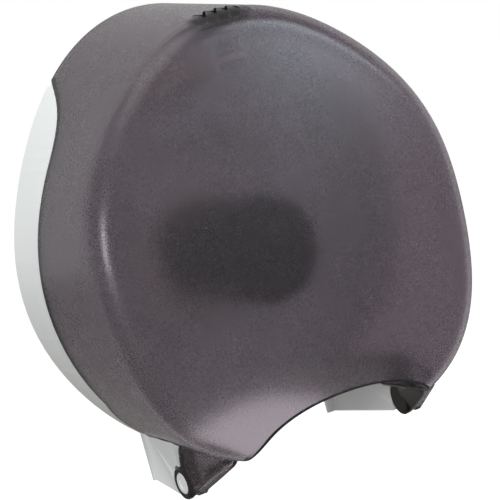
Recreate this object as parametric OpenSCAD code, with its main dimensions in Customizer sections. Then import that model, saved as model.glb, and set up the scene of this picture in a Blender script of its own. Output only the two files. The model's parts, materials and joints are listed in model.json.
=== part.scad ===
// Wall dispenser for jumbo toilet rolls: a shallow housing on the wall, a domed smoke cover
// hinged on two feet, a turning roll hub on a fixed axle and a key latch under the top.
// Origin: centre of the four wall screw holes, on the wall plane. +Z is up, -Y faces the room.

/* [Body] */
// Mean radius of the outline at the wall
body_r = 139.5; // [136:0.5:146]
// Depth from the wall to the edge where the front starts to round over
body_d = 121.5; // [119:0.5:130]
// Radius between the side wall and the front face
shoulder_r = 16.5; // [10:0.5:20]
// Height of the gentle dome of the front face
crown = 7.5; // [3:0.5:12]
// Forward lean of the front face, in degrees, so the foot of it stands out furthest
front_lean = 2.9; // [0:0.1:4]
// Drop of the front outline below the wall outline
front_drop = 4.2; // [0:0.2:6]
/* [Walls] */
// Wall of the front cover
cover_wall = 2.6; // [2:0.1:3.2]
// Wall of the housing's side strips
side_wall = 2.8; // [2:0.1:3.6]
// Thickness of the housing's back plate
plate_t = 3; // [2.4:0.1:4]
// Gap along the seam between cover and housing
seam_gap = 0.7; // [0.5:0.1:1]
/* [Seam] */
// Height at which the side strip leaves the wall at the top
seam_top = 124; // [116:1:128]
// Widest part of the side strip, near its upper end
strip_wide = 47; // [38:1:52]
// Depth of the side strip at its lower end
strip_low = 35.5; // [30:0.5:38]
/* [Paper outlet] */
// Height of the top of the arch in the cover, below the origin
arch_top = 109; // [104:0.5:112]
// Half width of the arch at the feet
arch_half = 79; // [76:0.5:79]
// Height of the top of the arch in the back plate, below the origin
plate_arch_top = 124; // [118:1:128]
/* [Feet and hinge] */
// Distance from the middle to the outer face of a foot
foot_x = 91; // [90:0.5:94]
// Distance of the hinge axis from the wall
pin_y = 75; // [72:0.5:77]
// Distance of the hinge axis below the origin
pin_z = 143; // [142:0.5:144]
// Radius of a hinge pin
pin_r = 7.5; // [5:0.1:7.8]
// Radius of the round ear about the pin
ear_r = 11; // [10.6:0.1:12]
// Width of an ear
ear_w = 12; // [11:0.5:13]
// Thickness of the housing's hinge tongue
tongue_t = 4.8; // [4:0.1:5.4]
// Radius of the round end of the hinge tongue
tongue_r = 10; // [9.6:0.1:10.1]
// Thickness of a housing leg
leg_t = 10; // [8:0.5:11]
// Distance of the legs' lower edge below the origin
leg_bottom = 152; // [150:0.5:153]
/* [Tear strips] */
// Number of teeth on a tear strip
tooth_count = 18; // [8:1:24]
// Height of a tooth
tooth_h = 1.6; // [1:0.1:2]
// Thickness of a tear strip
tear_t = 1.5; // [1:0.1:2]
/* [Hub] */
// Distance of the hub axis below the origin
hub_z = 14; // [8:0.5:18]
// Radius of the hub drum that carries the roll's core
hub_r = 35; // [30:0.5:40]
// Width of the hub drum
hub_w = 88; // [80:0.5:92]
// Wall of the hub drum
hub_wall = 2.4; // [2:0.1:3]
// Number of ribs in the hub drum
hub_ribs = 6; // [4:1:10]
// Thickness of the hub's front cap
cap_t = 3; // [2:0.1:4]
// Radius of the fixed axle
axle_r = 9; // [7:0.1:10]
// Length of each bush
bush_l = 10; // [6:0.5:14]
// Wall of each bush
bush_wall = 3; // [2:0.1:4]
// Radius of the spindle flange on the back plate
flange_r = 44; // [42:0.5:50]
// Thickness of the spindle flange
flange_t = 4; // [3:0.1:5]
/* [Wall screws] */
// Distance between the wall screw holes, across
wall_hole_w = 124; // [116:1:130]
// Distance between the wall screw holes, up and down
wall_hole_h = 130; // [120:1:136]
// Radius of a wall screw hole
wall_hole_r = 2.75; // [2:0.05:3.5]
/* [Latch] */
// Distance of the key slot's middle behind the edge where the front rounds over
key_inset = 6.5; // [5.5:0.5:9]
// Number of strokes in the zigzag key slot
key_strokes = 7; // [3:2:7]
// Sideways step of a stroke that runs to the front
key_lean = 1.2; // [0:0.1:2]
// Sideways step of a stroke that runs back
key_pitch = 6.8; // [5:0.1:7]
// Reach of the zigzag, front to back
key_reach = 12; // [10:0.5:14]
// Width of the cut
key_cut = 1.8; // [1.4:0.1:2.2]
// Free height of the latch spring
spring_h = 10.3; // [8:0.1:12]
// Radius of the latch spring to the middle of its wire
spring_r = 4.6; // [4:0.1:5.5]
// Diameter of the spring wire
wire_d = 0.9; // [0.7:0.05:1.1]

/* [Hidden] */

// Colours, as the object shows them
pale_grey = [0.84, 0.87, 0.87];
smoke = [0.28, 0.26, 0.27, 0.75];
black = [0.12, 0.11, 0.12];
natural = [0.88, 0.87, 0.82];
zinc = [0.7, 0.71, 0.72];

// Outline shapes: shares of the mean radius that turn twice, three, four and five times
// around it. They make it taller than wide, full at the feet and flatter on the sides.
rear_shape = [0.072, 0.018, 0.020, 0];
front_shape = [0.026, 0.031, -0.017, 0.019];
outline_n = 96;
side_rings = 3;
shoulder_rings = 4;
crown_rings = 5;
curve_n = 10;

// Small clearances: round fits that turn, round fits that stay, and flat faces that slide
run_gap = 0.05;
seat_gap = 0.02;
slide_gap = 0.4;
edge_gap = 1;
over = 1;

// Hinge and feet
sweep_r = 70;
leg_top = 119.5;
leg_slant = 0.2;
leg_foot_x = foot_x - leg_slant * pin_y;
leg_skin = 2.5;
pocket_y = 48;
plate_arch_half = leg_foot_x - leg_t - 4;
sole_w = 16;
top_gap = 0.8;
tip_y = pin_y + 3;
foot_back = tip_y + seam_gap + 0.3;
leg_high = 100;
ear_gap = 1.2;
// Round knuckles of a foot in front of its ear: distance from the middle, distance from the
// wall, distance below the origin and radius
foot_knuckles = [[76, body_d - 4.5, 127, 8], [82, tip_y + 8, 114, 6]];
tongue_x = foot_x - ear_w / 2;
tongue_neck = 6.5;
pin_floor = 1.5;
open_angle = 100;
tooth_tip_r = ear_r + 0.3;
strip_room = 0.4;
slot_turn = asin((tongue_neck + slide_gap) / (tongue_r + slide_gap)) + 1;

// Hub, front to back along the axle
drum_back = plate_t + flange_t + 4;
drum_front = drum_back + hub_w;
bush_r = axle_r + bush_wall;
hub_tube = 3;
bush_front_y = drum_front - 4 - bush_l;
washer_t = 1;
clip_t = 1.4;
axle_end = drum_front - 0.5;
groove_r = axle_r - 1.2;
axle_bore_l = 60;
axle_bore_r = 4;

// Latch, from the cover's inner pad down
key_y = body_d - key_inset;
key_span = (key_strokes + 1) / 2 * key_lean + (key_strokes - 1) / 2 * key_pitch;
pad_depth = 7.7;
pad_z = outline_r(0, front_shape) - front_drop - pad_depth;
pad_half = 21;
pad_front = key_y + 11;
pad_back = key_y - 22;
guide_t = 3;
guide_half = 17;
guide_reach = key_reach / 2 + 2;
bar_gap = 8.2;
bar_top = pad_z - bar_gap;
bar_t = 3.5;
bar_half = 16;
bar_front = key_y + 4;
bar_back = key_y - 13;
post_r = 3;
post_x = 11;
bracket_screw_x = 8;
arm_t = 4;
arm_top = bar_top - bar_t - spring_h;
arm_half = 15;
spring_turns = 5;
tooth_top = bar_top + 2.5;
tooth_half = 8;
tooth_t = 3;
catch_half = 18;
catch_back = key_y - 21.5;
catch_front = key_y - 14;
lip_h = 4;
foot_plate_h = 26;
screw_r = 1.9;
screw_head_r = 3.6;
screw_head_t = 2.2;

function outline_r(a, s) =
    body_r * (1 + s[0] * cos(2 * a) + s[1] * cos(3 * a) + s[2] * cos(4 * a) + s[3] * cos(5 * a));

// A point of the skin: a is the angle from the top, t runs from the wall to the shoulder,
// trim narrows the outline, ahead is the distance in front of the shoulder's start, and
// u runs from 1 at the rim to 0 at the middle of the front
function skin(a, t, inset, trim, ahead, u, back) =
    let (r0 = outline_r(a, rear_shape) - inset,
         r1 = (outline_r(a, front_shape) - inset - trim) * u,
         y1 = -body_d - ahead + tan(front_lean) * r1 * cos(a))
    [(r0 + (r1 - r0) * t) * sin(a),
     back + (y1 - back) * t,
     (r0 + (r1 - r0) * t) * cos(a) - front_drop * t];

function skin_ring(t, inset, trim, ahead, u, back) =
    [for (k = [0 : outline_n - 1]) skin(360 * k / outline_n, t, inset, trim, ahead, u, back)];

// Closed solid of the whole body, drawn in by inset on its side and front
module body_form(inset, back) {
    r = shoulder_r - inset;
    points = [
        for (k = [0 : side_rings - 1]) each skin_ring(k / (side_rings - 1), inset, 0, 0, 1, back),
        for (k = [1 : shoulder_rings]) let (s = 90 * k / shoulder_rings)
            each skin_ring(1, inset, r * (1 - cos(s)), r * sin(s), 1, back),
        for (k = [1 : crown_rings - 1]) let (u = 1 - k / crown_rings)
            each skin_ring(1, inset, r, r + crown * (1 - u * u), u, back),
        skin(0, 1, inset, r, r + crown, 0, back)
    ];
    rings = side_rings + shoulder_rings + crown_rings - 1;
    tip = rings * outline_n;
    faces = [
        [for (k = [outline_n - 1 : -1 : 0]) k],
        for (j = [0 : rings - 2]) for (k = [0 : outline_n - 1])
            let (a = j * outline_n + k, b = j * outline_n + (k + 1) % outline_n,
                 c = a + outline_n, d = b + outline_n)
            each [[a, b, d], [a, d, c]],
        for (k = [0 : outline_n - 1])
            [(rings - 1) * outline_n + k, (rings - 1) * outline_n + (k + 1) % outline_n, tip]
    ];
    polyhedron(points = points, faces = faces);
}

function bezier(a, b, c, d, n) =
    [for (k = [0 : n]) let (t = k / n, s = 1 - t)
        s * s * s * a + 3 * s * s * t * b + 3 * s * t * t * c + t * t * t * d];

function arc(cy, cz, r, from, to, n) =
    [for (k = [0 : n]) let (a = from + (to - from) * k / n) [cy + r * cos(a), cz + r * sin(a)]];

// Extrudes a side view (Y, Z) across the object, or a front view (X, Z) away from the wall
module across(x0, x1) {
    translate([x0, 0, 0]) rotate([90, 0, 90]) linear_extrude(x1 - x0) children();
}
module outward(y0, y1) {
    translate([0, -y0, 0]) rotate([90, 0, 0]) linear_extrude(y1 - y0) children();
}
module rod(y0, y1, r, n = 64) {
    translate([0, -y0, -hub_z]) rotate([90, 0, 0]) cylinder(h = y1 - y0, r = r, $fn = n);
}
module on_side(side) {
    if (side > 0) children(); else mirror([1, 0, 0]) children();
}
// One plain skin for a moulding whose curves carry no bore; holes are cut from it afterwards
module moulding() {
    resize([0, 0, 0]) union() children();
}

// The seam in side view, from the wall at the top down to the arc about the hinge axis.
// The arc keeps the cover's lower tongue clear of the strip while the cover swings.
strip_end = acos((pin_y - strip_low) / sweep_r);
arc_end = asin((pin_z - leg_top) / sweep_r);
function seam_curve(shift) = concat(
    bezier([-shift, seam_top], [-22 - shift, seam_top - 11], [-strip_wide - shift, seam_top - 21],
        [-strip_wide - shift, seam_top - 46], curve_n),
    bezier([-strip_wide - shift, seam_top - 46], [-strip_wide + 1 - shift, 50],
        [-strip_low - shift, 10],
        [-strip_low - shift, -pin_z + sweep_r * sin(strip_end)], curve_n));
function seam_arc(shift) =
    arc(-pin_y, -pin_z, sweep_r - shift, strip_end,
        asin((pin_z - leg_top + shift) / (sweep_r - shift)), curve_n);

module cover_region() {
    polygon(concat([[-edge_gap, 2 * body_r], [-edge_gap, seam_top]],
        [for (p = seam_curve(seam_gap)) if (p[0] < -edge_gap) p],
        seam_arc(seam_gap),
        [[-tip_y - seam_gap, -leg_top + seam_gap], [-tip_y - seam_gap, -2 * body_r],
         [-2 * body_r, -2 * body_r], [-2 * body_r, 2 * body_r]]));
}
module strip_region() {
    polygon(concat([[over, seam_top]], seam_curve(0), seam_arc(0),
        [[-pin_y + sweep_r * cos(arc_end), -2 * body_r], [over, -2 * body_r]]));
}

function arch_side(top, half, low) =
    bezier([0, -top], [0.58 * half, -top], [0.92 * half, -top - 15], [half, -low], 2 * curve_n);
function mirrored(points) = [for (k = [len(points) - 1 : -1 : 0]) [-points[k][0], points[k][1]]];
module arch(top, half, low) {
    side = arch_side(top, half, low);
    polygon(concat([[-half, -2 * body_r]], mirrored(side), side, [[half, -2 * body_r]]));
}

// Housing on the wall
module housing_region() {
    strip_region();
    translate([-plate_t, -2 * body_r]) square([plate_t + over, 4 * body_r]);
}
// Free ring round the top of the back plate, where the cover reaches the wall
module top_ring() {
    difference() {
        outward(-over, plate_t + over) translate([-body_r, seam_top - 4]) square([2 * body_r, body_r]);
        body_form(cover_wall + top_gap, over);
    }
}
module housing_shell() {
    difference() {
        intersection() {
            body_form(0, 0);
            across(-2 * body_r, 2 * body_r) housing_region();
        }
        intersection() {
            body_form(side_wall, over);
            outward(plate_t, 2 * body_d) square(4 * body_r, center = true);
        }
        top_ring();
        outward(-over, 2 * body_d) arch(plate_arch_top, plate_arch_half, leg_bottom - 4);
    }
}
module leg_plan(inset) {
    inner_x = leg_foot_x - leg_t;
    polygon([[leg_foot_x - inset, over], [leg_foot_x + leg_slant * tip_y - inset, -tip_y + inset],
        [inner_x + leg_slant * tip_y + inset, -tip_y + inset], [inner_x + inset, over]]);
}
module leg() {
    difference() {
        intersection() {
            translate([0, 0, -leg_bottom]) linear_extrude(leg_bottom - leg_high) leg_plan(0);
            translate([0, -tip_y, -leg_bottom]) cube([2 * foot_x, tip_y, leg_bottom]);
        }
        across(0, 2 * foot_x) leg_cut();
        intersection() {
            body_form(-seam_gap, over);
            translate([0, -body_d, -leg_top]) cube([2 * foot_x, 2 * body_d, leg_top]);
        }
    }
    across(tongue_x - tongue_t / 2, tongue_x + tongue_t / 2) {
        translate([-pin_y, -pin_z]) circle(r = tongue_r, $fn = 64);
        translate([-pin_y, -pin_z - tongue_neck]) square([ear_r + 4, 2 * tongue_neck]);
    }
}
// Hollow of a leg, open towards the wall
module leg_pocket() {
    intersection() {
        translate([0, 0, -leg_bottom + leg_skin])
            linear_extrude(leg_bottom - leg_top - 2 * leg_skin) leg_plan(leg_skin);
        translate([0, -pocket_y, -leg_bottom]) cube([2 * foot_x, pocket_y + over, leg_bottom]);
    }
}
// Round seat for the ear, and the free space in front of it
module leg_cut() {
    translate([-pin_y, -pin_z]) circle(r = ear_r + ear_gap, $fn = 64);
    polygon([[-pin_y, -pin_z], [-pin_y - ear_r * 2, -pin_z + ear_r * 0.4],
        [-pin_y - ear_r * 2, -leg_bottom - over], [-pin_y + 14, -leg_bottom - over]]);
}
module pin_hole(r, x0, x1) {
    translate([x0, -pin_y, -pin_z]) rotate([0, 90, 0]) cylinder(h = x1 - x0, r = r, $fn = 64);
}
module wall_holes() {
    for (x = [-1, 1], z = [-1, 1])
        translate([x * wall_hole_w / 2, 0, z * wall_hole_h / 2]) rotate([90, 0, 0]) children();
}
module screw_ring(r, n, turn) {
    for (k = [0 : n - 1]) let (a = turn + 360 * k / n)
        translate([r * sin(a), 0, -hub_z + r * cos(a)]) rotate([90, 0, 0]) children();
}
flange_screw_r = flange_r - 7;
module rear_housing() {
    color(pale_grey) difference() {
        moulding() difference() {
            union() {
                housing_shell();
                for (side = [-1, 1])
                    translate([side * (plate_arch_half + sole_w / 2) - sole_w / 2, -plate_t, -leg_bottom])
                        cube([sole_w, plate_t, 40]);
                for (side = [-1, 1]) on_side(side) leg();
                wall_holes() cylinder(h = plate_t + 3, r = 8, $fn = 48);
                stiff_ribs();
            }
            for (side = [-1, 1]) on_side(side) leg_pocket();
        }
        for (side = [-1, 1]) on_side(side)
            pin_hole(pin_r + seat_gap, tongue_x - tongue_t, foot_x + over);
        wall_holes() translate([0, 0, -over])
            cylinder(h = plate_t + 5, r = wall_hole_r, $fn = 48);
        screw_ring(flange_screw_r, 4, 45) cylinder(h = plate_t + over, r = screw_r, $fn = 32);
        bracket_holes(plate_t + over);
    }
}
module stiff_ribs() {
    rib_t = 2;
    rib_h = 5;
    span = wall_hole_h / 2 - 6;
    for (x = [-1, 1]) translate([x * wall_hole_w / 2 - rib_t / 2, -plate_t - rib_h, -span])
        cube([rib_t, rib_h + over, 2 * span]);
    for (z = [-1, 1]) translate([-wall_hole_w / 2, -plate_t - rib_h, z * wall_hole_h / 2 - rib_t / 2])
        cube([wall_hole_w, rib_h + over, rib_t]);
}

module hinge_pin(side) {
    color(pale_grey) on_side(side) pin_hole(pin_r, foot_x - ear_w + pin_floor + 0.2, foot_x);
}
module hinge_pin_left() { hinge_pin(-1); }
module hinge_pin_right() { hinge_pin(1); }

// Roll hub
module spindle_flange() {
    color(natural) difference() {
        rod(plate_t, plate_t + flange_t, flange_r, 96);
        rod(plate_t - over, plate_t + flange_t + over, axle_r + seat_gap);
        translate([0, -plate_t, 0]) screw_ring(flange_screw_r, 4, 45)
            translate([0, 0, -over]) cylinder(h = flange_t + 2 * over, r = screw_r + 0.2, $fn = 32);
    }
}
module spindle_screws() {
    color(zinc) translate([0, -plate_t - flange_t, 0]) screw_ring(flange_screw_r, 4, 45) screw();
}
// Pan head screw whose head seats on z = 0 and whose shank reaches into the plate
module screw() {
    cylinder(h = screw_head_t, r = screw_head_r, $fn = 32);
    translate([0, 0, -flange_t - plate_t + 0.5])
        cylinder(h = flange_t + plate_t, r = screw_r - seat_gap, $fn = 32);
}
module hub_axle() {
    color(natural) difference() {
        rod(plate_t, axle_end, axle_r);
        difference() {
            rod(clip_y, clip_y + clip_t + 0.2, axle_r + over);
            rod(clip_y - over, clip_y + clip_t + over, groove_r);
        }
        rod(axle_end - axle_bore_l, axle_end + over, axle_bore_r);
    }
}
module thrust_washer() {
    color(black) difference() {
        rod(plate_t + flange_t + 0.3, drum_back + 0.7, axle_r + 6);
        rod(0, drum_back + 2, axle_r + 0.3);
    }
}
module hub_drum() {
    color(black) difference() {
        union() {
            difference() {
                rod(drum_back, drum_front, hub_r, 96);
                rod(drum_back - over, drum_front + over, hub_r - hub_wall, 96);
            }
            rod(drum_back + 1, bush_front_y + bush_l, bush_r + hub_tube);
            for (k = [0 : hub_ribs - 1]) translate([0, 0, -hub_z]) rotate([0, 360 * k / hub_ribs, 0])
                translate([bush_r + 1, -drum_front + 6, -1])
                    cube([hub_r - hub_wall / 2 - bush_r - 1, hub_w - 12, 2]);
        }
        rod(0, drum_back + 1 + bush_l, bush_r + seat_gap);
        rod(bush_front_y, drum_front + over, bush_r + seat_gap);
        rod(0, drum_front, axle_r + 0.6);
    }
}
module bush(y) {
    color(natural) difference() {
        rod(y, y + bush_l, bush_r);
        rod(y - over, y + bush_l + over, axle_r + run_gap);
    }
}
module hub_bush_rear() { bush(drum_back + 1); }
module hub_bush_front() { bush(bush_front_y); }
module hub_cap() {
    color(black) {
        rod(drum_front, drum_front + cap_t, hub_r, 96);
        difference() {
            rod(drum_front - 3, drum_front + over, hub_r - hub_wall - 0.3, 96);
            rod(drum_front - 4, drum_front, hub_r - hub_wall - 2.3, 96);
        }
    }
}
washer_y = bush_front_y + bush_l + 0.2;
clip_y = washer_y + washer_t + 0.1;
module axle_washer() {
    color(zinc) difference() {
        rod(washer_y, washer_y + washer_t, axle_r + 3.5);
        rod(0, drum_front, axle_r + 0.2);
    }
}
module axle_clip() {
    color(zinc) difference() {
        rod(clip_y + 0.1, clip_y + clip_t + 0.1, axle_r + 2);
        rod(0, drum_front, groove_r + 0.1);
        translate([-3, -clip_y - clip_t - over, -hub_z]) cube([6, clip_t + 2 * over, 2 * axle_r]);
    }
}

// Latch: a bracket on the back plate carries a sprung bar below the key slot
module bracket_holes(depth) {
    for (x = [-1, 1]) translate([x * bracket_screw_x, 0, arm_top - foot_plate_h / 2 - 2])
        rotate([90, 0, 0]) cylinder(h = depth, r = screw_r, $fn = 32);
}
module latch_posts(r, z0, z1) {
    for (x = [-1, 1]) translate([x * post_x, -key_y, z0]) cylinder(h = z1 - z0, r = r, $fn = 48);
}
module latch_bracket() {
    color(natural) difference() {
        union() {
            translate([-arm_half - 5, -plate_t - arm_t, arm_top - foot_plate_h])
                cube([2 * arm_half + 10, arm_t, foot_plate_h]);
            translate([-arm_half, -bar_front, arm_top - arm_t])
                cube([2 * arm_half, bar_front - plate_t, arm_t]);
            for (x = [-1, 1]) translate([x * (arm_half - 1) - 1, 0, 0]) across(0, 2)
                polygon([[-plate_t - over, arm_top - over], [-plate_t - over, arm_top - foot_plate_h],
                    [-plate_t - arm_t, arm_top - foot_plate_h], [-key_y + 18, arm_top - arm_t - 3],
                    [-bar_front, arm_top - arm_t - 3], [-bar_front, arm_top - over]]);
        }
        latch_posts(post_r + run_gap, arm_top - 2 * arm_t, arm_top + over);
        bracket_holes(plate_t + arm_t + over);
    }
}
module bracket_screws() {
    color(zinc) for (x = [-1, 1])
        translate([x * bracket_screw_x, -plate_t - arm_t, arm_top - foot_plate_h / 2 - 2])
            rotate([90, 0, 0]) screw();
}
module latch_bar() {
    color(pale_grey) {
        translate([-bar_half, -bar_front, bar_top - bar_t]) cube([2 * bar_half, bar_front - bar_back, bar_t]);
        translate([-tooth_half, -bar_back - tooth_t, bar_top - over])
            cube([2 * tooth_half, tooth_t, tooth_top - bar_top + over]);
        latch_posts(post_r, arm_top - arm_t - 5, bar_top - over);
    }
}
function spring_point(a) = [spring_r * cos(a), spring_r * sin(a), wire_d / 2
    + (spring_h - wire_d) * min(1, max(0, (a - 300) / (360 * spring_turns - 600)))];
module latch_spring() {
    steps = spring_turns * 24;
    sides = 8;
    points = [for (k = [0 : steps]) let (a = 360 * spring_turns * k / steps, p = spring_point(a))
        for (j = [0 : sides - 1]) let (b = 360 * j / sides)
        [p[0] + wire_d / 2 * cos(b) * cos(a), p[1] + wire_d / 2 * cos(b) * sin(a),
         p[2] + wire_d / 2 * sin(b)]];
    faces = [
        [for (j = [0 : sides - 1]) j],
        for (k = [0 : steps - 1]) for (j = [0 : sides - 1])
            let (a = k * sides + j, b = k * sides + (j + 1) % sides, c = a + sides, d = b + sides)
            each [[a, c, d], [a, d, b]],
        [for (j = [sides - 1 : -1 : 0]) steps * sides + j]
    ];
    color(zinc) translate([0, -key_y, arm_top]) polyhedron(points = points, faces = faces);
}

// Cover
function key_point(k) =
    [floor(k / 2) * (key_lean + key_pitch) + (k % 2) * key_lean - key_span / 2,
     (k % 2 == 0 ? 0.5 : -0.5) * key_reach];
module zigzag(w) {
    for (k = [0 : key_strokes - 1]) {
        stroke = key_point(k + 1) - key_point(k);
        translate(key_point(k)) rotate(atan2(stroke[1], stroke[0]))
            translate([-w / 2, -w / 2]) square([norm(stroke) + w, w]);
    }
}
module key_slot(z0, z1, w) {
    translate([0, -key_y, z0]) linear_extrude(z1 - z0) zigzag(w);
}
// Foot of the cover: a smooth skin from the dome's lower corner down to the ear
module foot_form(inset) {
    intersection() {
        hull() {
            translate([foot_x - ear_w + inset, -pin_y, -pin_z]) rotate([0, 90, 0])
                cylinder(h = ear_w - 2 * inset, r = ear_r - inset, $fn = 48);
            for (k = foot_knuckles)
                translate([k[0], -k[1], -k[2]]) sphere(r = k[3] - inset, $fn = 32);
        }
        translate([0, -2 * body_d, -2 * body_r])
            cube([2 * foot_x, 2 * body_d - foot_back - inset, 2 * body_r]);
    }
}
// Slot in the ear for the housing's tongue, open over the whole swing of the cover
module ear_slot() {
    across(tongue_x - tongue_t / 2 - slide_gap, tongue_x + tongue_t / 2 + slide_gap) {
        translate([-pin_y, -pin_z]) circle(r = tongue_r + slide_gap, $fn = 64);
        polygon(concat([[-pin_y, -pin_z]],
            arc(-pin_y, -pin_z, ear_r + 3, slot_turn, -open_angle - slot_turn, 16)));
    }
}
module cover_shell() {
    difference() {
        union() {
            intersection() {
                body_form(0, 0);
                across(-2 * body_r, 2 * body_r) cover_region();
            }
            for (side = [-1, 1]) on_side(side) foot_form(0);
        }
        difference() {
            body_form(cover_wall, over);
            translate([-pad_half, -pad_front, pad_z]) cube([2 * pad_half, pad_front - pad_back, 20]);
        }
        for (side = [-1, 1]) on_side(side) {
            foot_form(cover_wall);
            pin_hole(tooth_tip_r + strip_room, foot_x - 2 * ear_w, foot_x - ear_w);
        }
        outward(-over, 2 * body_d) arch(arch_top, arch_half, pin_z + 7);
        key_slot(pad_z - over, 2 * body_r, key_cut);
    }
}
module front_cover() {
    color(smoke) difference() {
        moulding() difference() {
            union() {
                cover_shell();
                for (side = [-1, 1]) on_side(side) pin_hole(ear_r, foot_x - ear_w, foot_x);
            }
            for (side = [-1, 1]) on_side(side) ear_slot();
        }
        for (side = [-1, 1]) on_side(side)
            pin_hole(pin_r + run_gap, foot_x - ear_w + pin_floor, foot_x + over);
        catch_holes(pad_z - over, pad_z + 3);
    }
}
module tear_strip(side) {
    r0 = ear_r - 3.2;
    teeth = [for (k = [0 : 2 * tooth_count]) let (a = 100 + 150 * k / (2 * tooth_count),
        r = tooth_tip_r - (k % 2 == 0 ? tooth_h : 0)) [r * cos(a), r * sin(a)]];
    back = [for (k = [24 : -1 : 0]) let (a = 100 + 150 * k / 24) [r0 * cos(a), r0 * sin(a)]];
    color(black) on_side(side) across(foot_x - ear_w - tear_t, foot_x - ear_w)
        translate([-pin_y, -pin_z]) polygon(concat(teeth, back));
}
module tear_strip_left() { tear_strip(-1); }
module tear_strip_right() { tear_strip(1); }
module key_guide() {
    color(black) difference() {
        translate([-guide_half, -key_y - guide_reach, pad_z - guide_t])
            cube([2 * guide_half, 2 * guide_reach, guide_t]);
        key_slot(pad_z - guide_t - over, pad_z + over, key_cut + 0.6);
    }
}
module catch_holes(z0, z1) {
    for (x = [-1, 1]) translate([x * 14, -(catch_back + catch_front) / 2, z0])
        cylinder(h = z1 - z0, r = screw_r, $fn = 32);
}
module cover_catch() {
    color(zinc) difference() {
        translate([-catch_half, -catch_front, pad_z - lip_h])
            cube([2 * catch_half, catch_front - catch_back, lip_h]);
        catch_holes(pad_z - lip_h - over, pad_z + over);
    }
}
module catch_screws() {
    color(zinc) for (x = [-1, 1])
        translate([x * 14, -(catch_back + catch_front) / 2, pad_z - lip_h]) {
            translate([0, 0, -1.2]) cylinder(h = 1.2, r = screw_head_r - 0.8, $fn = 32);
            cylinder(h = lip_h + 2.5, r = screw_r - seat_gap, $fn = 32);
        }
}

rear_housing();
hinge_pin_left();
hinge_pin_right();
spindle_flange();
spindle_screws();
hub_axle();
thrust_washer();
hub_drum();
hub_bush_rear();
hub_bush_front();
hub_cap();
axle_washer();
axle_clip();
latch_bracket();
bracket_screws();
latch_bar();
latch_spring();
front_cover();
tear_strip_left();
tear_strip_right();
key_guide();
cover_catch();
catch_screws();
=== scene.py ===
"""Looks of a wall dispenser for jumbo toilet rolls: smoke cover, pale housing, hub and key latch."""

import json
import math

import bmesh
import bpy
from bpy.props import FloatProperty, FloatVectorProperty, IntProperty, PointerProperty
from mathutils import Matrix, Vector

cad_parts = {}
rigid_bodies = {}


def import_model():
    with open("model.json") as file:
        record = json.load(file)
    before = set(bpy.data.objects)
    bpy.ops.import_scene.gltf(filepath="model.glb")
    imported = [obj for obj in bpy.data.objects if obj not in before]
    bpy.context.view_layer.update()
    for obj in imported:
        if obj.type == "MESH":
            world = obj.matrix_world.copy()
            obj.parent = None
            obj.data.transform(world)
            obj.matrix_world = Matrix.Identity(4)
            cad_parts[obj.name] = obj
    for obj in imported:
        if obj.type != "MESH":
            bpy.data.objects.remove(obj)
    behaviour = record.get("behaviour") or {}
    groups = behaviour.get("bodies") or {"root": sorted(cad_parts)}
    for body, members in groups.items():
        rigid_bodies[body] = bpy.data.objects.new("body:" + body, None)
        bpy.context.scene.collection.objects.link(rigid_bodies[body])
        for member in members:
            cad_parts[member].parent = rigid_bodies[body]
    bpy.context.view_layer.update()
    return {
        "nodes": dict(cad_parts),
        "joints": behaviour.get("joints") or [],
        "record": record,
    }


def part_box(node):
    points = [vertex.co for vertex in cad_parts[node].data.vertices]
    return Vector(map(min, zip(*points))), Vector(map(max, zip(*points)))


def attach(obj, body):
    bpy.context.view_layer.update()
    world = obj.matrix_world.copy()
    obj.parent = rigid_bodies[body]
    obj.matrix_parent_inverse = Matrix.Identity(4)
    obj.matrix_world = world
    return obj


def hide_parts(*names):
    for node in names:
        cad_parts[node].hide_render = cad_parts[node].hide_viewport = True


bl_info = {
    "name": "Jumbo Roll Dispenser",
    "version": (1, 0, 0),
    "blender": (4, 5, 0),
    "location": "3D View > Sidebar > Dispenser",
    "description": "Dresses the pieces of a wall dispenser for jumbo toilet rolls",
    "category": "Object",
}

for left_over in list(bpy.data.objects):
    bpy.data.objects.remove(left_over)

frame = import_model()
BODY_OF = {node: body for body, nodes in frame["record"]["behaviour"]["bodies"].items() for node in nodes}
SLOT_OF = {part["node"]: part["material_slot"] for part in frame["record"]["subparts"]}
SLOT_COLOUR = {m["slot"]: m["base_color"][:3] for m in frame["record"]["materials"]}
HINGE = next(joint for joint in frame["joints"] if joint["name"] == "cover_hinge")["pos_m"]


def length(name, description, default):
    return FloatProperty(name=name, description=description, default=default, min=0, unit="LENGTH")


def colour(name, description, default):
    return FloatVectorProperty(
        name=name, description=description, default=default, size=3, min=0, max=1, subtype="COLOR"
    )


def share(name, description, default):
    return FloatProperty(
        name=name, description=description, default=default, min=0, max=1, subtype="FACTOR"
    )


def tilt(name, description, degrees):
    return FloatProperty(name=name, description=description, default=math.radians(degrees), subtype="ANGLE")


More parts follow.
